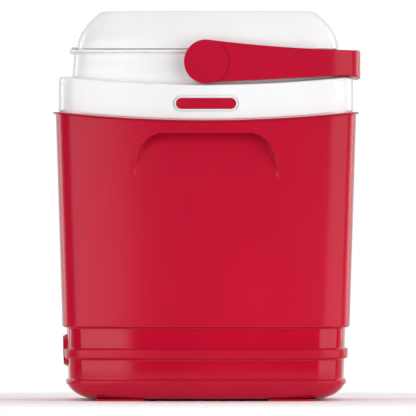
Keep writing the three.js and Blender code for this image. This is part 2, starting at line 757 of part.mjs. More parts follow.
function axleBracket(side) {
  const x = side * BRACKET_X;
  const backY = AXLE_Y + CHANNEL_HALF - 0.6;
  const frontY = AXLE_Y - CHANNEL_HALF + 0.6;
  const saddle = block(at(x - BRACKET_HALF_X, frontY, BRACKET_LOW_Z), at(x + BRACKET_HALF_X, backY, CHANNEL_TOP - 0.6));
  const plate = block(
    at(x - BRACKET_HALF_X, BRACKET_FRONT_Y, BRACKET_LOW_Z),
    at(x + BRACKET_HALF_X, backY, POCKET_Z - GAP),
  );
  const bore = rod(AXLE_RADIUS + GAP, at(x - 20, AXLE_Y, AXLE_Z), at(x + 20, AXLE_Y, AXLE_Z), 24);
  return cut(joined(saddle, plate), bore, ...screwHoles(SCREW_RADIUS + GAP));
}

function bracketScrew(x) {
  const headLow = BRACKET_LOW_Z - 1.7;
  const profile = [
    [0, 0],
    [SCREW_HEAD - 0.8, 0],
    [SCREW_HEAD, 0.6],
    [SCREW_HEAD, 1.4],
    [SCREW_RADIUS, 1.4],
    [SCREW_RADIUS, 11],
    [0, 13],
  ];
  return turned(profile, Z_AXIS, at(x, SCREW_Y, headLow), 12);
}

// A low pad under the front edge, square at its inner end and rounded at its outer end.
function foot(side) {
  const { inner, outer, front, back, round } = FOOT;
  const shape = new THREE.Shape();
  shape.moveTo(side * inner, front);
  shape.lineTo(side * (outer - round), front);
  shape.quadraticCurveTo(side * outer, front, side * outer, front + round);
  shape.lineTo(side * outer, back - round);
  shape.quadraticCurveTo(side * outer, back, side * (outer - round), back);
  shape.lineTo(side * inner, back);
  shape.closePath();
  const pad = new THREE.ExtrudeGeometry(shape, { depth: FLOOR_Z - GAP, bevelEnabled: false, curveSegments: 6 });
  return solid(pad);
}

// ---- The object ----------------------------------------------------------------------------------

const group = new THREE.Group();

function place(name, manifold, material) {
  const mesh = new THREE.Mesh(geometryOf(manifold), material);
  mesh.name = name;
  group.add(mesh);
}

place("body_shell", bodyShell(), red());
place("body_insulation", bodyInsulation(), foam());
place("inner_liner", liner(), linerWhite());
place("collar", collar(), white());
place("badge_plate", badgePlate(), red());
place("lid_shell", lidShell(), white());
place("lid_insulation", lidInsulation(), foam());
place("lid_inner_panel", lidInnerPanel(), linerWhite());
place("lid_seal", lidSeal(), rubber());
place("lid_hinge_pin", hingePin(), steel());
place("handle", handle(), red());
place("axle", axle(), steel());
for (const [end, side] of [["front", -1], ["rear", 1]]) {
  place(`handle_cap_${end}`, handleCap(side), red());
  place(`pivot_stud_${end}`, pivotStud(side), darkPlastic());
}
for (const [end, side] of [["left", -1], ["right", 1]]) {
  place(`wheel_hub_${end}`, wheelHub(side), darkPlastic());
  place(`tyre_${end}`, tyre(side), rubber());
  place(`axle_cap_${end}`, axleCap(side), steel());
  place(`axle_bracket_${end}`, axleBracket(side), darkPlastic());
  place(`foot_${end}`, foot(side), red());
}
screwPlaces.forEach((x, index) => place(`bracket_screw_${index + 1}`, bracketScrew(x), steel()));

export default group;
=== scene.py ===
import math

import bmesh
import bpy
import numpy as np
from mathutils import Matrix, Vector


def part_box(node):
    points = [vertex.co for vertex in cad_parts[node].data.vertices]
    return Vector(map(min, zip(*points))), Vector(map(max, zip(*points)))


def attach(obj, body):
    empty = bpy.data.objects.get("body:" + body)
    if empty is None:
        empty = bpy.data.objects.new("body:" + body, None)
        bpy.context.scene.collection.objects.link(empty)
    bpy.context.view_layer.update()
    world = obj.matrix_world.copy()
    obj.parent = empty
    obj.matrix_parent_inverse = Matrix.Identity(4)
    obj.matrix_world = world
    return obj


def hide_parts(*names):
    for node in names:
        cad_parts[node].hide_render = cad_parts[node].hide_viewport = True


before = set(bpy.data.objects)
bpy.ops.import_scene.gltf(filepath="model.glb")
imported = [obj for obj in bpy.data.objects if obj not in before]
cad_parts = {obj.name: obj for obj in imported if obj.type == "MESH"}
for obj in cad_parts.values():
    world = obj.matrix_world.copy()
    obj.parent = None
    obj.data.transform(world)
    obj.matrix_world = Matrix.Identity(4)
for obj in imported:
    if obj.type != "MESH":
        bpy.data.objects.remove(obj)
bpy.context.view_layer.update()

# Shapes are worked out in millimetres from the boxes of the CAD nodes, and turned into metres
# when a mesh is made. The front faces -Y, the handle lies folded towards +X.

MM = 0.001


def box_mm(node):
    low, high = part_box(node)
    return low / MM, high / MM


# ---- Driving dimensions, from the frame where the frame has them ----------------------------------

SHELL_LOW, SHELL_HIGH = box_mm("body_shell")
COLLAR_HIGH = box_mm("collar")[1]
LINER_LOW, LINER_HIGH = box_mm("inner_liner")
LID_HIGH = box_mm("lid_shell")[1]
PANEL_LOW, PANEL_HIGH = box_mm("lid_inner_panel")
SEAL_LOW, SEAL_HIGH = box_mm("lid_seal")
HANDLE_LOW, HANDLE_HIGH = box_mm("handle")
BADGE_LOW, BADGE_HIGH = box_mm("badge_plate")
PIN_LOW, PIN_HIGH = box_mm("lid_hinge_pin")

RIM_FLANGE = 3.2
RIM_X = SHELL_HIGH.x - RIM_FLANGE
RIM_Y = SHELL_HIGH.y - RIM_FLANGE
RIM_Z = SHELL_HIGH.z
RIM_DIP = 10.2
FLOOR_Z = SHELL_LOW.z
DRAFT = 0.031
CORNER = 34
BOW = 8
SIDE_BOW = 3
WALL = 3
HEEL_Z = 26
HEEL_X = 34
HEEL_Y = 14
BASE_INSET = 2.4
BAND_INSET = 5.2
RIB_INSET = 1.2
BAND_LOW = (25.6, 51)
BAND_HIGH = (62.4, 88.2)

LEDGE_Z = 386
LEDGE_DIP = 9.8
NECK_FOOT = (160, 132)
NECK_TOP = (158, 130.4)
NECK_Z = 419.4
LIP_OUT = 5.4
LIP_HEIGHT = 2.6
LIP_Z = NECK_Z - 1.3
MOUTH = (149, 120.8)

PIVOT_Z = (HANDLE_LOW.z + HANDLE_HIGH.z) / 2
DISC_RADIUS = (HANDLE_HIGH.z - HANDLE_LOW.z) / 2
ARM_INNER_Y = 137.2
GRIP_INNER_X = 167.6
GRIP_LOW_Z = 387.6
GRIP_HIGH_Z = 417.4
GRIP_TIP_Z = 384.3

# ---- Mesh helpers --------------------------------------------------------------------------------


def new_piece(name, vertices, faces, sharp_degrees=32):
    """A smooth-shaded mesh object from vertices in millimetres."""
    mesh = bpy.data.meshes.new(name)
    mesh.from_pydata([Vector(v) * MM for v in vertices], [], faces)
    work = bmesh.new()
    work.from_mesh(mesh)
    bmesh.ops.recalc_face_normals(work, faces=work.faces)
    work.to_mesh(mesh)
    work.free()
    mesh.validate()
    piece = bpy.data.objects.new(name, mesh)
    bpy.context.scene.collection.objects.link(piece)
    smooth(piece, sharp_degrees)
    return piece


def smooth(piece, sharp_degrees=32):
    piece.data.shade_smooth()
    piece.data.set_sharp_from_angle(angle=math.radians(sharp_degrees))


def boolean(piece, cutter, operation="DIFFERENCE", sharp_degrees=32):
    """Applies the cutter to the piece and removes the cutter."""
    modifier = piece.modifiers.new("cut", "BOOLEAN")
    modifier.operation = operation
    modifier.solver = "EXACT"
    modifier.object = cutter
    depsgraph = bpy.context.evaluated_depsgraph_get()
    result = bpy.data.meshes.new_from_object(piece.evaluated_get(depsgraph))
    piece.modifiers.remove(modifier)
    piece.data = result
    bpy.data.objects.remove(cutter)
    smooth(piece, sharp_degrees)
    return piece


def loft(name, rings, capped=True, sharp_degrees=32):
    """A skin through rings of equal length. Uncapped, the last ring joins the first."""
    count = len(rings[0])
    vertices = [tuple(p) for ring in rings for p in ring]
    faces = []
    last = len(rings) - 1 if capped else len(rings)
    for k in range(last):
        low = k * count
        high = ((k + 1) % len(rings)) * count
        for i in range(count):
            j = (i + 1) % count
            faces.append((low + i, low + j, high + j, high + i))
    if capped:
        for ring, start in ((rings[0], 0), (rings[-1], (len(rings) - 1) * count)):
            vertices.append(tuple(np.mean(np.array(ring), axis=0)))
            middle = len(vertices) - 1
            faces += [(middle, start + i, start + (i + 1) % count) for i in range(count)]
    return new_piece(name, vertices, faces, sharp_degrees)


def lathe(name, profile, axis, at, steps=64, sharp_degrees=32):
    """A profile of (radius, height) points turned around an axis that starts at a point."""
    axis = Vector(axis).normalized()
    turn = Vector((0, 0, 1)).rotation_difference(axis).to_matrix()
    start = Vector(at)
    rings = []
    for i in range(steps):
        angle = 2 * math.pi * i / steps
        side = Vector((math.cos(angle), math.sin(angle), 0))
        rings.append([start + turn @ (side * r + Vector((0, 0, h))) for r, h in profile])
    vertices = [p for ring in rings for p in ring]
    count = len(profile)
    faces = []
    for i in range(steps):
        j = (i + 1) % steps
        for k in range(count - 1):
            faces.append((i * count + k, j * count + k, j * count + k + 1, i * count + k + 1))
    piece = new_piece(name, vertices, faces, sharp_degrees)
    work = bmesh.new()
    work.from_mesh(piece.data)
    bmesh.ops.remove_doubles(work, verts=work.verts, dist=1e-7)
    bmesh.ops.dissolve_degenerate(work, edges=work.edges, dist=1e-7)
    bmesh.ops.recalc_face_normals(work, faces=work.faces)
    work.to_mesh(piece.data)
    work.free()
    smooth(piece, sharp_degrees)
    return piece


def eased(points, radius, steps=5, closed=False):
    """A path with each of its corners rounded. Points are equal-length tuples of numbers.
    A further point on each side of a corner keeps the straights looking flat."""
    path = [np.array(p, float) for p in points]
    count = len(path)
    result = []
    for i, point in enumerate(path):
        if not closed and i in (0, count - 1):
            result.append(point)
            continue
        before, after = path[i - 1], path[(i + 1) % count]
        back, ahead = before - point, after - point
        reach_back = min(radius, 0.48 * np.linalg.norm(back[:2])) / max(np.linalg.norm(back[:2]), 1e-9)
        reach_ahead = min(radius, 0.48 * np.linalg.norm(ahead[:2])) / max(np.linalg.norm(ahead[:2]), 1e-9)
        start, end = point + back * reach_back, point + ahead * reach_ahead
        result.append(point + back * min(1.4 * reach_back, 0.495))
        for step in range(steps + 1):
            t = step / steps
            result.append((1 - t) ** 2 * start + 2 * t * (1 - t) * point + t**2 * end)
        result.append(point + ahead * min(1.4 * reach_ahead, 0.495))
    return result


def quadratic(a, b, c, parameters):
    a, b, c = (np.array(p, float) for p in (a, b, c))
    return [(1 - t) ** 2 * a + 2 * t * (1 - t) * b + t**2 * c for t in parameters]


def crossing(a, u, b, v):
    share = ((b[0] - a[0]) * v[1] - (b[1] - a[1]) * v[0]) / (u[0] * v[1] - u[1] * v[0])
    return (a[0] + share * u[0], a[1] + share * u[1])


def spread(count):
    return [i / count for i in range(count)]


SIDE_STEPS = 28
CORNER_STEPS = 14
EVEN = spread(SIDE_STEPS)


def outline(half_x, half_y, corner=CORNER, bow=BOW, side_bow=SIDE_BOW, front=EVEN):
    """A rounded rectangle whose sides bow out, anticlockwise from the left end of its front."""
    end_x, end_y = half_x - corner, half_y - corner
    a = (end_x, bow - half_y)
    b = (half_x - side_bow, -end_y)
    tip = crossing(a, (end_x, 2 * bow), b, (2 * side_bow, end_y))
    side, turn = spread(SIDE_STEPS), spread(CORNER_STEPS)
    return [
        *quadratic((-a[0], a[1]), (0, -half_y - bow), a, front),
        *quadratic(a, tip, b, turn),
        *quadratic(b, (half_x + side_bow, 0), (b[0], -b[1]), side),
        *quadratic((b[0], -b[1]), (tip[0], -tip[1]), (a[0], -a[1]), turn),
        *quadratic((a[0], -a[1]), (0, half_y + bow), (-a[0], -a[1]), side),
        *quadratic((-a[0], -a[1]), (-tip[0], -tip[1]), (-b[0], -b[1]), turn),
        *quadratic((-b[0], -b[1]), (-half_x - side_bow, 0), (-b[0], b[1]), side),
        *quadratic((-b[0], b[1]), (-tip[0], tip[1]), (-a[0], a[1]), turn),
    ]


def ring(z, half_x, half_y, dip=0, **options):
    """One level of a box-shaped piece. The dip lowers its middle and leaves its two ends."""
    points = outline(half_x, half_y, **options)
    return [(x, y, z - dip * (1 - (x / half_x) ** 2)) for x, y in points]


def soft_step(value):
    t = min(max(value, 0), 1)
    return t * t * (3 - 2 * t)


def finish_piece(piece, body, slot, material, *nodes):
    piece.data.materials.clear()
    piece.data.materials.append(material)
    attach(piece, body)
    if nodes:
        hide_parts(*nodes)
    return piece


# ---- Materials -----------------------------------------------------------------------------------


def linear(red, green, blue):
    """A display colour, 0 to 255, as the linear colour that shaders take."""
    values = [c / 255 for c in (red, green, blue)]
    return [c / 12.92 if c <= 0.04045 else ((c + 0.055) / 1.055) ** 2.4 for c in values] + [1]


class Nodes:
    """A short way to write a node tree."""

    def __init__(self, name):
        self.material = bpy.data.materials.new(name)
        self.material.use_nodes = True
        self.tree = self.material.node_tree
        self.shader = next(n for n in self.tree.nodes if n.type == "BSDF_PRINCIPLED")
        self.place = self.add("ShaderNodeTexCoord").outputs["Object"]

    def add(self, kind, **settings):
        node = self.tree.nodes.new(kind)
        for key, value in settings.items():
            setattr(node, key, value)
        return node

    def link(self, source, target):
        self.tree.links.new(source, target)

    def noise(self, scale, detail=3, roughness=0.5, stretch=None):
        node = self.add("ShaderNodeTexNoise")
        node.inputs["Scale"].default_value = scale
        node.inputs["Detail"].default_value = detail
        node.inputs["Roughness"].default_value = roughness
        place = self.place
        if stretch:
            mapping = self.add("ShaderNodeMapping")
            mapping.inputs["Scale"].default_value = stretch
            self.link(place, mapping.inputs["Vector"])
            place = mapping.outputs["Vector"]
        self.link(place, node.inputs["Vector"])
        return node.outputs["Fac"]

    def range(self, value, low, high, to_low, to_high):
        node = self.add("ShaderNodeMapRange")
        names = ("From Min", "From Max", "To Min", "To Max")
        for name, number in zip(names, (low, high, to_low, to_high)):
            node.inputs[name].default_value = number
        self.link(value, node.inputs["Value"])
        return node.outputs["Result"]

    def mix(self, share, first, second):
        node = self.add("ShaderNodeMix", data_type="RGBA")
        self.link(share, node.inputs["Factor"])
        for socket, value in ((node.inputs[6], first), (node.inputs[7], second)):
            if isinstance(value, (list, tuple)):
                socket.default_value = value
            else:
                self.link(value, socket)
        return node.outputs[2]

    def math(self, operation, first, second):
        node = self.add("ShaderNodeMath", operation=operation, use_clamp=True)
        for socket, value in zip(node.inputs, (first, second)):
            if isinstance(value, (int, float)):
                socket.default_value = value
            else:
                self.link(value, socket)
        return node.outputs[0]

    def bump(self, height, strength, distance, normal=None):
        node = self.add("ShaderNodeBump")
        node.inputs["Strength"].default_value = strength
        node.inputs["Distance"].default_value = distance
        self.link(height, node.inputs["Height"])
        if normal:
            self.link(normal, node.inputs["Normal"])
        return node.outputs["Normal"]


def moulded_plastic(name, colour, worn, roughness=0.3, texture=0.10, coat=0.0, sub=0.0, specular=0.5):
    """Injection-moulded plastic: a faint flow pattern in the colour, an eggshell surface,
    a few soft scuffs, and edges that have gone slightly paler."""
    n = Nodes(name)
    flow = n.noise(7, detail=4, roughness=0.55, stretch=(1, 1, 0.45))
    scuffs = n.noise(55, detail=6, roughness=0.7, stretch=(1, 1, 0.35))
    scuffed = n.range(scuffs, 0.60, 0.78, 0, 1)
    geometry = n.add("ShaderNodeNewGeometry")
    edge = n.range(geometry.outputs["Pointiness"], 0.53, 0.62, 0, 0.45)
    deeper = [c * 0.93 for c in colour[:3]] + [1]
    base = n.mix(n.range(flow, 0.35, 0.65, 0, 1), deeper, colour)
    base = n.mix(n.math("MULTIPLY", edge, 0.6), base, worn)
    n.link(base, n.shader.inputs["Base Color"])
    rough = n.range(flow, 0.3, 0.7, roughness - 0.035, roughness + 0.035)
    rough = n.math("ADD", rough, n.math("MULTIPLY", scuffed, 0.07))
    n.link(rough, n.shader.inputs["Roughness"])
    fine = n.noise(1500, detail=2, roughness=0.6)
    n.link(n.bump(fine, texture, 0.00006), n.shader.inputs["Normal"])
    n.shader.inputs["IOR"].default_value = 1.46
    n.shader.inputs["Specular IOR Level"].default_value = specular
    n.shader.inputs["Coat Weight"].default_value = coat
    n.shader.inputs["Coat Roughness"].default_value = 0.12
    n.shader.inputs["Subsurface Weight"].default_value = sub
    n.shader.inputs["Subsurface Radius"].default_value = (0.004, 0.003, 0.003)
    n.shader.inputs["Subsurface Scale"].default_value = 0.6
    return n.material


def rubber(name, colour, roughness=0.75):
    n = Nodes(name)
    grime = n.noise(40, detail=5, roughness=0.65)
    dusty = [min(c * 2.6 + 0.02, 1) for c in colour[:3]] + [1]
    base = n.mix(n.range(grime, 0.5, 0.75, 0, 0.5), colour, dusty)
    n.link(base, n.shader.inputs["Base Color"])
    n.link(n.range(grime, 0.3, 0.7, roughness - 0.08, roughness + 0.1), n.shader.inputs["Roughness"])
    pits = n.noise(900, detail=3, roughness=0.6)
    n.link(n.bump(pits, 0.35, 0.00012), n.shader.inputs["Normal"])
    return n.material


def plated_steel(name):
    n = Nodes(name)
    lines = n.noise(60, detail=5, roughness=0.6, stretch=(1, 14, 14))
    cloud = n.noise(30, detail=3)
    base = n.mix(n.range(cloud, 0.4, 0.65, 0, 1), linear(176, 178, 182), linear(198, 199, 200))
    n.link(base, n.shader.inputs["Base Color"])
    n.link(n.range(lines, 0.3, 0.7, 0.24, 0.42), n.shader.inputs["Roughness"])
    n.link(n.bump(lines, 0.12, 0.00005), n.shader.inputs["Normal"])
    n.shader.inputs["Metallic"].default_value = 1
    return n.material


def foam_material(name):
    n = Nodes(name)
    cells = n.add("ShaderNodeTexVoronoi", feature="SMOOTH_F1")
    cells.inputs["Scale"].default_value = 320
    n.link(n.place, cells.inputs["Vector"])
    base = n.mix(n.noise(20), linear(244, 238, 214), linear(250, 246, 230))
    n.link(base, n.shader.inputs["Base Color"])
    n.link(n.range(n.noise(120), 0.3, 0.7, 0.8, 0.98), n.shader.inputs["Roughness"])
    n.link(n.bump(cells.outputs["Distance"], 0.6, 0.0008), n.shader.inputs["Normal"])
    return n.material


RED_COLOUR = linear(190, 20, 50)
# Painted shade: the bands' red is a darker copy of the shell's red, standing in for the shade in the
# recessed bands.
BAND_SHADED_RED = linear(190, 12, 46)
WORN_RED = linear(206, 56, 76)
WHITE_COLOUR = linear(249, 249, 249)
WORN_WHITE = linear(252, 252, 252)

RED = moulded_plastic("red_plastic", RED_COLOUR, WORN_RED, roughness=0.2, specular=0.22)
# The bands' glossier finish is real; their darker base colour is painted shade.
RED_GLOSS_SHADED = moulded_plastic("red_polished_band_painted_shade", BAND_SHADED_RED, WORN_RED, roughness=0.08, specular=0.32)
RED_SATIN = moulded_plastic("red_handle_plastic", RED_COLOUR, WORN_RED, roughness=0.2, specular=0.22)
WHITE = moulded_plastic("white_plastic", WHITE_COLOUR, WORN_WHITE, roughness=0.14, specular=0.3)
LINER = moulded_plastic("liner_plastic", linear(238, 239, 238), linear(246, 246, 246), roughness=0.30)
DARK = moulded_plastic("dark_plastic", linear(52, 53, 56), linear(96, 97, 100), roughness=0.5, texture=0.3)
SEAL = rubber("seal_rubber", linear(74, 75, 77), roughness=0.62)
TYRE = rubber("tyre_rubber", linear(34, 34, 36))
STEEL = plated_steel("plated_steel")
FOAM = foam_material("rigid_foam")

# ---- Outer shell ---------------------------------------------------------------------------------

SCOOP_TOP = 318
SCOOP_FOOT = 260
SCOOP_DEPTH = 17
SCOOP_WIDTHS = ((260, 89), (282, 84.5), (296, 80.5), (305, 76.5), (311, 71.5), (315, 66), (318, 58))


def scoop_half_width(z):
    heights, widths = zip(*SCOOP_WIDTHS)
    return float(np.interp(z, heights, widths))


def scoop_columns():
    """Positions across the front as shares of its half width, dense along the scoop's sides."""
    middle = np.linspace(0, 1, 26)[:-1] * 0.94
    side = np.linspace(0.94, 1.0, 14)[:-1]
    outer = 1 + np.linspace(0, 1, 16)[:-1]
    half = np.concatenate([middle, side, outer])
    return np.concatenate([-half[:0:-1], half])


COLUMNS = scoop_columns()


def front_shares(z, half_x):
    """Where the columns cross the front at one height, as parameters of the front's curve.
    Column 1 follows the side of the scoop and column 2 is the end of the front."""
    end_x = half_x - CORNER
    if z <= SCOOP_TOP:
        edge = scoop_half_width(max(z, SCOOP_FOOT))
    else:
        edge = 58 + 26 * soft_step((z - SCOOP_TOP) / 22)
    positions = np.interp(np.abs(COLUMNS), [0, 1, 2], [0, edge, end_x]) * np.sign(COLUMNS)
    shares = (positions / end_x + 1) / 2
    return [0.0, *shares]


def scoop_depth(column, z):
    if z >= SCOOP_TOP + 0.9 or z <= SCOOP_FOOT or abs(column) >= 1:
        return 0
    rise = (z - SCOOP_FOOT) / (SCOOP_TOP - SCOOP_FOOT)
    ease = 0.2
    slope = rise**2 / (2 * ease) if rise < ease else rise - ease / 2
    depth = SCOOP_DEPTH * min(slope / (1 - ease / 2), 1)
    side = soft_step((1 - abs(column)) / 0.045)
    lip = soft_step((SCOOP_TOP + 0.9 - z) / 1.6)
    return depth * side * lip


def wall_x(z):
    return RIM_X - DRAFT * (RIM_Z - z)


def wall_y(z):
    return RIM_Y - DRAFT * (RIM_Z - z)


def shell_ring(z, inset_x, inset_y, dip=0):
    """One level of the shell's outside, with the hand scoop pressed into its front."""
    half_x, half_y = wall_x(z) - inset_x, wall_y(z) - inset_y
    points = ring(z, half_x, half_y, dip, front=front_shares(z, half_x))
    scooped = []
    for i, (x, y, height) in enumerate(points):
        drop = DRAFT * (z - height)
        x *= 1 - drop / half_x
        y *= 1 - drop / half_y
        if 0 < i <= len(COLUMNS):
            y += scoop_depth(COLUMNS[i - 1], height)
        scooped.append((x, y, height))
    return scooped


def heel_points(steps=10):
    points = []
    for i in range(steps):
        angle = i / steps * math.pi / 2
        z = FLOOR_Z + (HEEL_Z - FLOOR_Z) * (1 - math.cos(angle))
        draw = 1 - math.sin(angle)
        points.append((z, BASE_INSET + HEEL_X * draw, BASE_INSET + HEEL_Y * draw, 0))
    return points


def level_points(*rows):
    return [(z, inset, inset, dip) for z, inset, dip in rows]


def shell_profile():
    edge = 1.1
    bands = eased(
        level_points(
            (HEEL_Z - 6, BASE_INSET, 0),
            (BAND_LOW[0] - edge, BASE_INSET, 0),
            (BAND_LOW[0], BAND_INSET, 0),
            (BAND_LOW[1] - edge, BAND_INSET, 0),
            (BAND_LOW[1], RIB_INSET, 0),
            (BAND_HIGH[0] - edge, RIB_INSET, 0),
            (BAND_HIGH[0], BAND_INSET, 0),
            (BAND_HIGH[1] - edge, BAND_INSET, 0),
            (BAND_HIGH[1], 0, 0),
            (BAND_HIGH[1] + 10, 0, 0),
        ),
        1.3,
        4,
    )
    heel = [row for row in heel_points() if row[0] < HEEL_Z - 6.5]
    wall = level_points(*[(z, 0, 0) for z in np.arange(BAND_HIGH[1] + 20, SCOOP_FOOT - 8, 12)])
    scoop = [
        *np.arange(SCOOP_FOOT - 6, SCOOP_TOP - 14, 2.0),
        *np.arange(SCOOP_TOP - 14, SCOOP_TOP - 2, 1.0),
        *np.arange(SCOOP_TOP - 2, SCOOP_TOP + 2, 0.25),
        *np.arange(SCOOP_TOP + 2, SCOOP_TOP + 7, 1.0),
    ]
    bead_z = RIM_Z - 1.4
    rim = eased(
        level_points(
            (SCOOP_TOP + 10, 0, 4),
            (bead_z - 1.0, 0, RIM_DIP),
            (bead_z, -RIM_FLANGE, RIM_DIP),
            (RIM_Z, -RIM_FLANGE, RIM_DIP),
            (RIM_Z, WALL - 0.4, RIM_DIP),
        ),
        0.6,
        4,
    )
    return [*heel, *bands, *wall, *level_points(*[(z, 0, 0) for z in scoop]), *rim]


def shell_cavity(margin_wells):
    floor_z = FLOOR_Z + WALL
    low = BAND_INSET + WALL
    rings = [
        ring(floor_z, wall_x(floor_z) - HEEL_X, wall_y(floor_z) - HEEL_Y - WALL),
        ring(floor_z + 8, wall_x(floor_z) - HEEL_X + 16, wall_y(floor_z) - HEEL_Y - WALL + 4),
        ring(HEEL_Z + 2, wall_x(HEEL_Z) - low, wall_y(HEEL_Z) - low),
        ring(BAND_HIGH[1] + 2, wall_x(90) - low, wall_y(90) - low),
        ring(BAND_HIGH[1] + 10, wall_x(98) - WALL, wall_y(98) - WALL),
        ring(RIM_Z + 20, wall_x(RIM_Z) - WALL + 0.6, wall_y(RIM_Z) - WALL + 0.6),
    ]
    cavity = loft("cavity", rings)
    behind_scoop = loft("behind_scoop", scoop_block(WALL))
    boolean(cavity, behind_scoop)
    for cutter in running_gear_space(margin_wells):
        boolean(cavity, cutter)
    return cavity


def scoop_block(margin):
    """The space just behind the scoop, which the shell's wall needs."""
    rings = []
    for z in (SCOOP_FOOT - 2, 282, 303, 314, SCOOP_TOP + margin):
        half = scoop_half_width(min(z, SCOOP_TOP - 4)) + margin
        rise = min(max((z - SCOOP_FOOT) / (SCOOP_TOP - SCOOP_FOOT), 0), 1)
        front = -wall_y(z)
        deep = front + SCOOP_DEPTH * rise**1.2 + margin
        middle = (deep + front - 20) / 2
        section = outline(half, (deep - front + 20) / 2, corner=4, bow=0, side_bow=0)
        rings.append([(x, y + middle, z) for x, y in section])
    return rings


AXLE_LOW, AXLE_HIGH = box_mm("axle")
AXLE_Y = (AXLE_LOW.y + AXLE_HIGH.y) / 2
AXLE_Z = (AXLE_LOW.z + AXLE_HIGH.z) / 2
WELL_RADIUS = 33
WELL_INNER_X = 106
WELL_OUTER_X = 138
CHANNEL_HALF = 7
CHANNEL_TOP = 36
POCKET_Z = 4.8
POCKET_CLEAR = 0.6
STUD_BORE = 7.3
STUD_HEAD_BORE = 12.3


def prism_x(name, profile, from_x, to_x):
    """A closed outline in y and z, extruded along x."""
    rings = [[(x, y, z) for y, z in profile] for x in (from_x, to_x)]
    return loft(name, rings)


def well_profile(radius):
    """A round wheel arch that runs out open at the bottom and behind."""
    arch = []
    for i in range(25):
        angle = math.pi - i / 24 * math.pi / 2
        arch.append((AXLE_Y + radius * math.cos(angle), AXLE_Z + radius * math.sin(angle)))
    return [(AXLE_Y - radius, -10), *arch, (RIM_Y + 20, AXLE_Z + radius), (RIM_Y + 20, -10)]


def running_gear_space(margin):
    profile = well_profile(WELL_RADIUS + margin)
    inner = WELL_INNER_X - margin
    half = CHANNEL_HALF + margin
    channel = [
        (AXLE_Y - half, -10),
        (AXLE_Y - half, CHANNEL_TOP + margin),
        (AXLE_Y + half, CHANNEL_TOP + margin),
        (AXLE_Y + half, -10),
    ]
    pockets = []
    for side in ("left", "right"):
        low, high = box_mm(f"axle_bracket_{side}")
        reach = POCKET_CLEAR + margin
        pocket = [
            (low.y - reach, -10),
            (low.y - reach, POCKET_Z + margin),
            (AXLE_Y, POCKET_Z + margin),
            (AXLE_Y, -10),
        ]
        pockets.append(prism_x(f"pocket_{side}", pocket, low.x - reach, high.x + reach))
    return [
        *pockets,
        prism_x("well_right", profile, inner, WELL_OUTER_X + margin),
        prism_x("well_left", profile, -WELL_OUTER_X - margin, -inner),
        prism_x("channel", channel, -inner - 1, inner + 1),
    ]


def make_body():
    shell = loft("shell", [shell_ring(*row) for row in shell_profile()])
    boolean(shell, shell_cavity(WALL))
    for cutter in running_gear_space(0):
        boolean(shell, cutter)
    for number in (1, 2, 3, 4):
        low, high = box_mm(f"bracket_screw_{number}")
        middle = (low + high) / 2
        hole = [(0, 0), (1.8, 0), (1.8, 12), (0, 12)]
        boolean(shell, lathe("screw_hole", hole, (0, 0, 1), (middle.x, middle.y, 0), 16))
    shell.name = "outer_shell"
    finish_piece(shell, "box", "red_plastic", RED, "body_shell")
    shell.data.materials.append(RED_GLOSS_SHADED)
    # The band faces take the darker red, which is painted shade for the recesses, with a glossier finish.
    for face in shell.data.polygons:
        z = face.center.z / MM
        outside = abs(face.center.x) > 0.12 or abs(face.center.y) > 0.12
        in_band = BAND_LOW[0] < z < BAND_LOW[1] - 0.4 or BAND_HIGH[0] < z < BAND_HIGH[1] - 0.4
        if in_band and outside and abs(face.normal.z) < 0.5:
            face.material_index = 1


make_body()

# ---- Collar, liner and badge ----------------------------------------------------------------------

NECK = {"corner": 30}
MOUTH_SHAPE = {"corner": 26, "bow": 6}


def ring_rows(rows, **options):
    return [ring(z, x, y, dip, **options) for z, x, y, dip in rows]


def make_collar():
    x, y = COLLAR_HIGH.x, COLLAR_HIGH.y
    lip_x, lip_y = NECK_TOP[0] + LIP_OUT, NECK_TOP[1] + LIP_OUT
    low_z = RIM_Z - 10
    skirt = eased(
        [
            (low_z, x - 0.6, y - 0.6, RIM_DIP),
            (RIM_Z + 0.1, x - 1.4, y - 1.4, RIM_DIP),
            (RIM_Z + 1.0, x - 1.4, y - 1.4, RIM_DIP),
            (RIM_Z + 1.5, x, y, RIM_DIP),
            (LEDGE_Z, x - 0.3, y - 0.3, LEDGE_DIP),
            (LEDGE_Z + 0.4, NECK_FOOT[0] + 5, NECK_FOOT[1] + 5, LEDGE_DIP),
        ],
        2.7,
        6,
    )
    neck = eased(
        [
            (LEDGE_Z + 0.4, NECK_FOOT[0] + 4, NECK_FOOT[1] + 4, LEDGE_DIP),
            (LEDGE_Z + 0.6, *NECK_FOOT, LEDGE_DIP),
            (LIP_Z - LIP_HEIGHT - 1.2, *NECK_TOP, 0),
            (LIP_Z - LIP_HEIGHT, lip_x, lip_y, 0),
            (LIP_Z, lip_x, lip_y, 0),
            (LIP_Z, lip_x - 8.4, lip_y - 8.4, 0),
            (NECK_Z, lip_x - 9, lip_y - 9, 0),
        ],
        1.0,
        5,
    )
    top = eased(
        [
            (NECK_Z, MOUTH[0] + 4, MOUTH[1] + 4, 0),
            (NECK_Z, *MOUTH, 0),
            (NECK_Z - WALL, *MOUTH, 0),
            (NECK_Z - WALL, NECK_TOP[0] - WALL, NECK_TOP[1] - WALL, 0),
            (LEDGE_Z - WALL, NECK_FOOT[0] - WALL, NECK_FOOT[1] - WALL, LEDGE_DIP),
            (LEDGE_Z - WALL, x - WALL, y - WALL, LEDGE_DIP),
            (low_z, x - WALL - 0.6, y - WALL - 0.6, RIM_DIP),
        ],
        1.0,
        4,
    )
    rings = [*ring_rows(skirt), *ring_rows(neck, **NECK), *ring_rows(top, **MOUTH_SHAPE)]
    collar = loft("collar_moulding", rings, capped=False)
    return collar


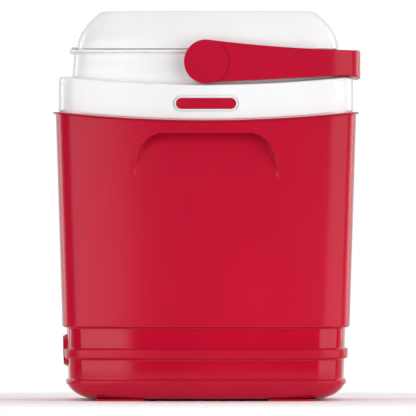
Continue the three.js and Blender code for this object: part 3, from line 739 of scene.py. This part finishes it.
def pill(length, height, centre_z, steps=20):
    """A pill outline in x and z."""
    radius = height / 2
    reach = length / 2 - radius
    angles = [i / steps * math.pi - math.pi / 2 for i in range(steps + 1)]
    half = [(reach + radius * math.cos(a), centre_z + radius * math.sin(a)) for a in angles]
    other = [(-x, z) for x, z in reversed(half)]
    return [*half, *other]


def collar_front(x):
    """How far the collar's bowed front lies behind its middle, at a distance to the side."""
    return BOW * 2 * (x / (COLLAR_HIGH.x - CORNER)) ** 2 / 2


def pill_levels(name, sizes, centre_z, capped=True):
    """Pill outlines at several depths, as (length, height, y)."""
    rings = []
    for length, height, y in sizes:
        rings.append([(x, y + collar_front(x), z) for x, z in pill(length, height, centre_z)])
    return loft(name, rings, capped=capped)


BADGE_Z = (BADGE_LOW.z + BADGE_HIGH.z) / 2
BADGE_LENGTH = BADGE_HIGH.x - BADGE_LOW.x
BADGE_HEIGHT = BADGE_HIGH.z - BADGE_LOW.z


def make_badge(collar):
    front = -COLLAR_HIGH.y
    for name, margin, depth in (("badge_hole", 0.6, 1.9), ("badge_groove", 7.6, 2.2)):
        size = (BADGE_LENGTH + margin, BADGE_HEIGHT + margin)
        cutter = pill_levels(name, [(*size, front - 4), (*size, front + depth)], BADGE_Z)
        boolean(collar, cutter)
    outer = (BADGE_LENGTH + 4.6, BADGE_HEIGHT + 4.6)
    inner = (BADGE_LENGTH + 0.7, BADGE_HEIGHT + 0.7)
    rows = eased(
        [
            (front + 2.3, *outer),
            (front - 0.9, outer[0] - 0.4, outer[1] - 0.4),
            (front - 0.9, inner[0] + 0.2, inner[1] + 0.2),
            (front + 2.3, *inner),
        ],
        0.7,
        4,
        closed=True,
    )
    ring_piece = pill_levels("badge_rim", [(a, b, y) for y, a, b in rows], BADGE_Z, capped=False)
    finish_piece(ring_piece, "box", "white_plastic", WHITE)
    back = BADGE_HIGH.y
    plate_rows = eased(
        [
            (back, BADGE_LENGTH, BADGE_HEIGHT),
            (back - 1.5, BADGE_LENGTH, BADGE_HEIGHT),
            (back - 1.6, BADGE_LENGTH - 1.4, BADGE_HEIGHT - 1.4),
        ],
        0.5,
        4,
    )
    plate = pill_levels("badge", [(a, b, y) for y, a, b in plate_rows], BADGE_Z)
    finish_piece(plate, "box", "red_plastic", RED, "badge_plate")


def rod_y(name, radius, x, z, from_y, to_y, steps=48):
    length = to_y - from_y
    ease = min(0.5, radius / 4)
    profile = [
        (0, 0),
        (radius - ease, 0),
        (radius, ease),
        (radius, length - ease),
        (radius - ease, length),
        (0, length),
    ]
    return lathe(name, profile, (0, 1, 0), (x, from_y, z), steps)


HINGE_X = (PIN_LOW.x + PIN_HIGH.x) / 2
HINGE_Z = (PIN_LOW.z + PIN_HIGH.z) / 2
BARREL = 2.4
BARREL_HALF = 51.6
LUG_FROM = 52
LUG_TO = 60


def make_collar_set():
    collar = make_collar()
    make_badge(collar)
    boolean(collar, rod_y("groove", BARREL + 0.4, HINGE_X, HINGE_Z, -LUG_FROM, LUG_FROM))
    for name, side in (("rear", 1), ("front", -1)):
        low, high = sorted((side * 110, side * 150))
        boolean(collar, rod_y("stud_bore", STUD_BORE, 0, PIVOT_Z, low, high))
        low, high = sorted((side * LUG_FROM, side * LUG_TO))
        lug = rod_y(f"hinge_lug_{name}", BARREL, HINGE_X, HINGE_Z, low, high, 32)
        finish_piece(lug, "box", "white_plastic", WHITE)
        profile = [
            (STUD_BORE, 0),
            (13, 0),
            (14, 1.2),
            (14, 9.5),
            (13.2, 10.1),
            (STUD_BORE, 10.1),
            (STUD_BORE, 0),
        ]
        start = (0, side * 126.2, PIVOT_Z)
        boss = lathe(f"pivot_boss_{name}", profile, (0, side, 0), start)
        finish_piece(boss, "box", "white_plastic", WHITE)
    finish_piece(collar, "box", "white_plastic", WHITE, "collar")


make_collar_set()


def make_liner():
    x, y, top = LINER_HIGH.x, LINER_HIGH.y, LINER_HIGH.z
    foot = (145.5, 118)
    low = LINER_LOW.z
    wall = 2
    outer = eased(
        [
            (low, foot[0] - 12, foot[1] - 12, 0),
            (low, *foot, 0),
            (top, x, y, 0),
            (top, x - 1, y - 1, 0),
        ],
        11,
        8,
    )
    inner = eased(
        [
            (top, x - 1.2, y - 1.2, 0),
            (top - 0.3, x - wall, y - wall, 0),
            (low + wall, foot[0] - wall, foot[1] - wall, 0),
            (low + wall, foot[0] - 20, foot[1] - 20, 0),
        ],
        11,
        8,
    )
    liner = loft("liner_tub", ring_rows([*outer, *inner], corner=26, bow=6))
    finish_piece(liner, "box", "liner_white", LINER, "inner_liner")


make_liner()

# ---- Lid -----------------------------------------------------------------------------------------

LID_SLOPE = 26.6
LID_CROWN = 1.2
LID_WALL = 2.4
LID_X = 2
LID_HALF_X = LID_HIGH.x - LID_X
LID_HALF_Y = LID_HIGH.y
LID_Z = NECK_Z + 0.8


def dome_rows(inset, from_z, steps=16):
    """Levels of the dome from its rim to the middle of its flat top."""
    height = LID_HIGH.z - LID_CROWN - LID_Z
    rows = []
    for i in range(steps):
        share = i / (steps - 1)
        draw = LID_SLOPE * share**2 + inset
        z = from_z + (LID_Z + height - inset - from_z) * share
        rows.append((z, LID_HALF_X - draw, LID_HALF_Y - draw, 0))
    for extra, rise in ((1.4, 0.45), (3.2, 0.75), (7, 0.95), (16, 1.0), (50, 1.0)):
        draw = LID_SLOPE + inset + extra
        z = LID_HIGH.z - LID_CROWN + LID_CROWN * rise - inset
        rows.append((z, LID_HALF_X - draw, LID_HALF_Y - draw, 0))
    return rows


def make_lid():
    outside = dome_rows(0, LID_Z)
    inside = dome_rows(LID_WALL, LID_Z + 2, 10)
    rim = [
        (LID_Z - 0.7, LID_HALF_X - LID_WALL, LID_HALF_Y - LID_WALL, 0),
        (LID_Z - 0.7, LID_HALF_X - 0.4, LID_HALF_Y - 0.4, 0),
    ]
    rows = [*reversed(inside), *rim, *outside]
    rings = [[(x + LID_X, y, z) for x, y, z in points] for points in ring_rows(rows, corner=32)]
    shell = loft("lid_dome", rings)
    finish_piece(shell, "lid", "white_plastic", WHITE, "lid_shell")

    barrel = rod_y("lid_hinge_barrel", BARREL, HINGE_X, HINGE_Z, -BARREL_HALF, BARREL_HALF)
    finish_piece(barrel, "lid", "white_plastic", WHITE)
    profile = [
        (HINGE_X, LID_Z + 0.05),
        (HINGE_X + 6, LID_Z + 0.05),
        (HINGE_X + 6, LID_Z + 2),
        (HINGE_X + 0.8, LID_Z + 2),
    ]
    rings = [[(x, y, z) for x, z in profile] for y in (-BARREL_HALF + 0.3, BARREL_HALF - 0.3)]
    web = loft("lid_hinge_web", rings)
    finish_piece(web, "lid", "white_plastic", WHITE)

    rim_z = LID_Z + 0.8
    flange_x, flange_y = PANEL_HIGH.x, PANEL_HIGH.y
    plug_x, plug_y, plug_z = 146.4, 118.2, PANEL_LOW.z
    wall = 2.4
    rows = eased(
        [
            (plug_z + wall, plug_x - 24, plug_y - 24, 0),
            (plug_z + wall, plug_x - wall, plug_y - wall, 0),
            (rim_z + wall, plug_x - wall, plug_y - wall, 0),
            (rim_z + wall, flange_x, flange_y, 0),
            (rim_z, flange_x, flange_y, 0),
            (rim_z, plug_x, plug_y, 0),
            (plug_z, plug_x, plug_y, 0),
            (plug_z, plug_x - 12, plug_y - 12, 0),
            (plug_z + 1.2, plug_x - 15, plug_y - 15, 0),
            (plug_z + 1.2, plug_x - 40, plug_y - 40, 0),
        ],
        2.2,
        5,
    )
    panel = loft("lid_tray", ring_rows(rows, corner=30, bow=7))
    finish_piece(panel, "lid", "liner_white", LINER, "lid_inner_panel")

    outer = (SEAL_HIGH.x, SEAL_HIGH.y)
    rows = eased(
        [
            (SEAL_HIGH.z, outer[0] - 4.5, outer[1] - 4.5, 0),
            (SEAL_HIGH.z, *outer, 0),
            (SEAL_LOW.z, outer[0] - 0.4, outer[1] - 0.4, 0),
            (SEAL_LOW.z, outer[0] - 4.2, outer[1] - 4.2, 0),
        ],
        0.45,
        4,
        closed=True,
    )
    seal = loft("seal_ring", ring_rows(rows, corner=34), capped=False)
    finish_piece(seal, "lid", "seal_rubber", SEAL, "lid_seal")


make_lid()

pin = rod_y("hinge_pin", (PIN_HIGH.x - PIN_LOW.x) / 2, HINGE_X, HINGE_Z, PIN_LOW.y, PIN_HIGH.y, 32)
finish_piece(pin, "box", "steel", STEEL, "lid_hinge_pin")

# ---- Handle --------------------------------------------------------------------------------------


ARM_TOP = quadratic((3.6, PIVOT_Z + 25.95), (88, PIVOT_Z + 15.4), (176, GRIP_HIGH_Z), np.linspace(0, 1, 40))
ARM_FOOT = quadratic((9, PIVOT_Z - 24.6), (80, PIVOT_Z - 21.2), (171, GRIP_LOW_Z), np.linspace(0, 1, 40))
ARM_TOP = np.array([*ARM_TOP, (HANDLE_HIGH.x, GRIP_HIGH_Z)])
ARM_FOOT = np.array([*ARM_FOOT, (HANDLE_HIGH.x - 2, GRIP_TIP_Z), (HANDLE_HIGH.x, GRIP_TIP_Z)])


def arm_heights(x):
    """Lowest and highest point of the folded handle at a distance along its arm."""
    circle = math.sqrt(max(DISC_RADIUS**2 - x**2, 0))
    high = float(np.interp(x, ARM_TOP[:, 0], ARM_TOP[:, 1])) if x > 3.6 else PIVOT_Z + circle
    low = float(np.interp(x, ARM_FOOT[:, 0], ARM_FOOT[:, 1])) if x > 9 else PIVOT_Z - circle
    return low, high


def section(inner, outer, radius):
    """The handle's rounded cross-section between an inner and an outer point of its plan."""
    inner, outer = np.array(inner), np.array(outer)
    width = np.linalg.norm(outer - inner)
    low_in, high_in = arm_heights(inner[0])
    low_out, high_out = arm_heights(outer[0])
    if outer[0] < 12:
        low_in, high_in = low_out, high_out
    corners = [(0, low_in), (width, low_out), (width, high_out), (0, high_in)]
    limit = min(radius, 0.3 * (high_out - low_out))
    points = []
    for along, up in eased(corners, limit, 5, closed=True):
        spot = inner + (outer - inner) * (along / width)
        points.append((spot[0], spot[1], up))
    return points


def make_handle():
    arm_end = HANDLE_HIGH.x - 36
    inner_end = GRIP_INNER_X - 28
    outer_line = outline(HANDLE_HIGH.x, HANDLE_HIGH.y, corner=36, side_bow=2)
    inner_line = outline(GRIP_INNER_X, ARM_INNER_Y, corner=28, side_bow=2)
    end = [-DISC_RADIUS * math.cos((i + 0.4) / 18 * math.pi / 2) for i in range(18)]
    arm_x = [*end, *np.linspace(0, arm_end, 34)[:-1]]

    def arm_station(x, side):
        inner_x = x - max(x, 0) / arm_end * (arm_end - inner_end)
        outer = (x, side * (HANDLE_HIGH.y - BOW * (x / arm_end) ** 2))
        inner = (inner_x, side * (ARM_INNER_Y - BOW * (inner_x / inner_end) ** 2))
        return inner, outer

    stations = [arm_station(x, -1) for x in arm_x]
    turn_end = SIDE_STEPS + 2 * CORNER_STEPS + SIDE_STEPS
    for i in range(SIDE_STEPS, turn_end + 1):
        stations.append((tuple(inner_line[i]), tuple(outer_line[i])))
    stations += [arm_station(x, 1) for x in reversed(arm_x)]
    handle = loft("bail_handle", [section(inner, outer, 1.8) for inner, outer in stations])
    for side in (-1, 1):
        low, high = sorted((side * 130, side * 150))
        boolean(handle, rod_y("bore", STUD_BORE, 0, PIVOT_Z, low, high))
        low, high = sorted((side * (HANDLE_HIGH.y - 3.6), side * 150))
        boolean(handle, rod_y("bore", STUD_HEAD_BORE, 0, PIVOT_Z, low, high))
    finish_piece(handle, "handle", "red_plastic", RED_SATIN, "handle")


make_handle()


def make_caps():
    for name, side in (("front", -1), ("rear", 1)):
        low, high = box_mm(f"handle_cap_{name}")
        thickness = high.y - low.y
        start = high.y if side < 0 else low.y
        rows = eased(
            [
                (0, 0),
                (DISC_RADIUS, 0),
                (DISC_RADIUS, thickness - 0.16),
                (DISC_RADIUS * 0.5, thickness - 0.04),
                (0, thickness),
            ],
            0.4,
            5,
        )
        cap = lathe(f"pivot_cap_{name}", rows, (0, side, 0), (0, start, PIVOT_Z), 96)
        finish_piece(cap, "handle", "red_plastic", RED_SATIN, f"handle_cap_{name}")


make_caps()

SIDE_BOSS_Z = 59.5
SIDE_BOSS_RADIUS = 19.5


def make_side_boss():
    """A low raised ring across the two bands on the left side."""
    profile = eased(
        [
            (0, -3),
            (SIDE_BOSS_RADIUS, -3),
            (SIDE_BOSS_RADIUS, 0.6),
            (SIDE_BOSS_RADIUS - 2.6, BAND_INSET),
            (SIDE_BOSS_RADIUS - 8, BAND_INSET),
            (SIDE_BOSS_RADIUS - 9, BAND_INSET - 1.6),
            (0, BAND_INSET - 1.6),
        ],
        0.5,
        4,
    )
    start = (BAND_INSET - wall_x(SIDE_BOSS_Z), 0, SIDE_BOSS_Z)
    boss = lathe("side_boss_left", profile, (-1, 0, -DRAFT), start, 72)
    finish_piece(boss, "box", "red_plastic", RED)


make_side_boss()

# ---- Wheels, axle and feet -----------------------------------------------------------------------


def make_wheels():
    for name in ("left", "right"):
        low, high = box_mm(f"tyre_{name}")
        middle = (low + high) / 2
        radius = (high.z - low.z) / 2
        half = (high.x - low.x) / 2
        rows = eased(
            [
                (22.8, -half + 1),
                (radius - 2.2, -half),
                (radius, -half + 2.6),
                (radius, -5.2),
                (radius - 1.4, -4.8),
                (radius - 1.4, -3.2),
                (radius, -2.8),
                (radius, 2.8),
                (radius - 1.4, 3.2),
                (radius - 1.4, 4.8),
                (radius, 5.2),
                (radius, half - 2.6),
                (radius - 2.2, half),
                (22.8, half - 1),
            ],
            0.5,
            3,
            closed=True,
        )
        rows.append(rows[0])
        piece = lathe(f"wheel_tyre_{name}", rows, (1, 0, 0), middle, 96)
        finish_piece(piece, f"wheel_{name}", "tyre_rubber", TYRE, f"tyre_{name}")

        hub_rows = eased(
            [
                (4.3, -half),
                (9, -half),
                (10, -3),
                (18.5, -3),
                (19.5, -half + 1),
                (22.5, -half + 1),
                (22.5, half - 1),
                (19.5, half - 1),
                (18.5, 3),
                (10, 3),
                (9, half),
                (4.3, half),
            ],
            0.8,
            3,
            closed=True,
        )
        hub_rows.append(hub_rows[0])
        hub = lathe(f"wheel_centre_{name}", hub_rows, (1, 0, 0), middle, 96)
        finish_piece(hub, f"wheel_{name}", "dark_plastic", DARK, f"wheel_hub_{name}")
        make_spokes(name, middle, half)


def make_spokes(name, middle, half):
    """Eight stiffening ribs on each face of the hub's web, in one mesh."""
    vertices, faces = [], []
    for face in (-1, 1):
        for i in range(8):
            angle = 2 * math.pi * i / 8
            outward = Vector((0, math.cos(angle), math.sin(angle)))
            across = Vector((0, -math.sin(angle), math.cos(angle)))
            start = len(vertices)
            for radius, width, rise in ((8.6, 1.4, half - 2.6), (19.2, 1.0, half - 3.6)):
                for side, share in ((-1, 1.0), (-1, 0.82), (1, 0.82), (1, 1.0)):
                    depth = 2.4 if share == 1.0 else rise
                    spot = middle + outward * radius + across * width * side * share
                    vertices.append(spot + Vector((face * depth, 0, 0)))
            faces += [
                (start, start + 1, start + 5, start + 4),
                (start + 1, start + 2, start + 6, start + 5),
                (start + 2, start + 3, start + 7, start + 6),
                (start + 3, start, start + 4, start + 7),
                (start, start + 3, start + 2, start + 1),
                (start + 4, start + 5, start + 6, start + 7),
            ]
    ribs = new_piece(f"wheel_ribs_{name}", vertices, faces)
    finish_piece(ribs, f"wheel_{name}", "dark_plastic", DARK)


make_wheels()


def make_axle():
    radius = (AXLE_HIGH.z - AXLE_LOW.z) / 2
    length = AXLE_HIGH.x - AXLE_LOW.x
    ease = 0.8
    profile = [
        (0, 0),
        (radius - ease, 0),
        (radius, ease),
        (radius, length - ease),
        (radius - ease, length),
        (0, length),
    ]
    piece = lathe("axle_rod", profile, (1, 0, 0), (AXLE_LOW.x, AXLE_Y, AXLE_Z), 48)
    finish_piece(piece, "box", "steel", STEEL, "axle")
    for name, side in (("left", -1), ("right", 1)):
        low, high = box_mm(f"axle_cap_{name}")
        start = low.x if side > 0 else high.x
        rows = eased([(4.3, 0), (8, 0), (8, 2.5), (6, 4.6), (0, 4.8)], 0.8, 4)
        inner = [(0, 3.9), (4.3, 3.9), (4.3, 0)]
        profile = [*rows, *inner]
        cap = lathe(f"wheel_cap_{name}", profile, (side, 0, 0), (start, AXLE_Y, AXLE_Z), 48)
        finish_piece(cap, "box", "steel", STEEL, f"axle_cap_{name}")


make_axle()


def make_feet():
    for name, side in (("left", -1), ("right", 1)):
        low, high = box_mm(f"foot_{name}")
        inner, outer = (high.x, low.x) if side < 0 else (low.x, high.x)
        round_off = 9
        straight_x = outer - side * round_off
        front = quadratic((straight_x, low.y), (outer, low.y), (outer, low.y + round_off), spread(8))
        rear = quadratic((outer, high.y - round_off), (outer, high.y), (straight_x, high.y), spread(8))
        plan = [(inner, low.y), (straight_x, low.y)]
        plan += [tuple(p) for p in [*front[1:], *rear]]
        plan += [(straight_x, high.y), (inner, high.y)]
        centre = np.mean(np.array(plan), axis=0)
        rows = [
            (low.z, 0.955),
            (low.z + 0.5, 0.985),
            (low.z + 1.2, 1.0),
            (high.z - 0.3, 1.0),
            (high.z, 0.99),
        ]
        rings = []
        for z, share in rows:
            level = [centre + (np.array(point) - centre) * share for point in plan]
            rings.append([(x, y, z) for x, y in level])
        pad = loft(f"front_pad_{name}", rings)
        finish_piece(pad, "box", "red_plastic", RED, f"foot_{name}")


make_feet()

# CAD nodes that keep their own shape
for node, material in (
    ("body_insulation", FOAM),
    ("lid_insulation", FOAM),
    ("pivot_stud_front", DARK),
    ("pivot_stud_rear", DARK),
    ("axle_bracket_left", DARK),
    ("axle_bracket_right", DARK),
    *[(f"bracket_screw_{i}", STEEL) for i in (1, 2, 3, 4)],
):
    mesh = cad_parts[node].data
    mesh.materials.clear()
    mesh.materials.append(material)

# ---- Floor, light and camera ------------------------------------------------------------------------


def make_stage():
    n = Nodes("pale_floor")
    n.link(n.mix(n.noise(3), linear(253, 253, 253), linear(255, 255, 255)), n.shader.inputs["Base Color"])
    n.link(n.range(n.noise(8), 0.3, 0.7, 0.7, 0.8), n.shader.inputs["Roughness"])
    bpy.ops.mesh.primitive_circle_add(vertices=128, radius=FLOOR_RADIUS, fill_type="NGON")
    floor = bpy.context.object
    floor.name = "floor"
    floor.data.materials.append(n.material)


def area_light(name, place, target, size, power, colour=(1, 1, 1)):
    data = bpy.data.lights.new(name, "AREA")
    data.shape = "RECTANGLE"
    data.size, data.size_y = size
    data.energy = power
    data.color = colour
    light = bpy.data.objects.new(name, data)
    light.location = place
    light.rotation_euler = (Vector(target) - Vector(place)).to_track_quat("-Z", "Y").to_euler()
    light.visible_camera = False
    bpy.context.scene.collection.objects.link(light)


WORLD_FRONT = 0.07
WORLD_BACK = 0.6
FLOOR_RADIUS = 0.55
FRONT_DISTANCE = 1.85
LIGHT_HEIGHT = 0.7
SIDE_ANGLE = 120
SIDE_DISTANCE = 1.6
SIDE_POWER = 9
TOP_POWER = 16


def make_world():
    """White as seen behind the object. As light it is dimmer, and dimmest from the front."""
    world = bpy.data.worlds.new("studio")
    world.use_nodes = True
    tree = world.node_tree
    background = tree.nodes["Background"]
    background.inputs["Color"].default_value = (1, 1, 1, 1)
    direction = tree.nodes.new("ShaderNodeTexCoord").outputs["Generated"]
    split = tree.nodes.new("ShaderNodeSeparateXYZ")
    tree.links.new(direction, split.inputs["Vector"])
    light = tree.nodes.new("ShaderNodeMapRange")
    light.interpolation_type = "SMOOTHSTEP"
    light.inputs["From Min"].default_value = -0.1
    light.inputs["From Max"].default_value = 0.3
    light.inputs["To Min"].default_value = WORLD_FRONT
    light.inputs["To Max"].default_value = WORLD_BACK
    tree.links.new(split.outputs["Y"], light.inputs["Value"])
    seen = tree.nodes.new("ShaderNodeLightPath").outputs["Is Camera Ray"]
    strength = tree.nodes.new("ShaderNodeMath")
    strength.operation = "MAXIMUM"
    tree.links.new(seen, strength.inputs[0])
    tree.links.new(light.outputs["Result"], strength.inputs[1])
    tree.links.new(strength.outputs["Value"], background.inputs["Strength"])
    bpy.context.scene.world = world


def around(degrees, distance, height):
    """A place at an angle around the object, counted from straight in front towards +X."""
    angle = math.radians(degrees)
    return (distance * math.sin(angle), -distance * math.cos(angle), height)


def make_lights():
    """Two upright softboxes in front, two narrow ones beside the object and one overhead."""
    middle = (0, 0, LIGHT_HEIGHT)
    for name, angle, width, power in (("left", -32, 1.35, 22.5), ("right", 50, 2.0, 31.5)):
        place = around(angle, FRONT_DISTANCE, LIGHT_HEIGHT)
        area_light(f"front_{name}", place, middle, (width, 2.2), power)
    for side, name in ((-1, "left"), (1, "right")):
        place = around(side * SIDE_ANGLE, SIDE_DISTANCE, LIGHT_HEIGHT)
        area_light(f"side_{name}", place, middle, (0.9, 1.4), SIDE_POWER)
    area_light("top", (0, 0.2, 2.4), (0, 0, 0.2), (2.8, 2.8), TOP_POWER)


def make_camera():
    distance = 14.0
    frame_width = 416 * 1.2 * MM
    data = bpy.data.cameras.new("camera")
    data.sensor_width = 36
    data.lens = 36 * distance / frame_width
    camera = bpy.data.objects.new("camera", data)
    camera.location = (0.0024, -distance, 0.2298)
    camera.rotation_euler = (math.radians(90), 0, 0)
    bpy.context.scene.collection.objects.link(camera)
    bpy.context.scene.camera = camera


make_stage()
make_world()
make_lights()
make_camera()
bpy.context.scene.view_settings.view_transform = "Standard"
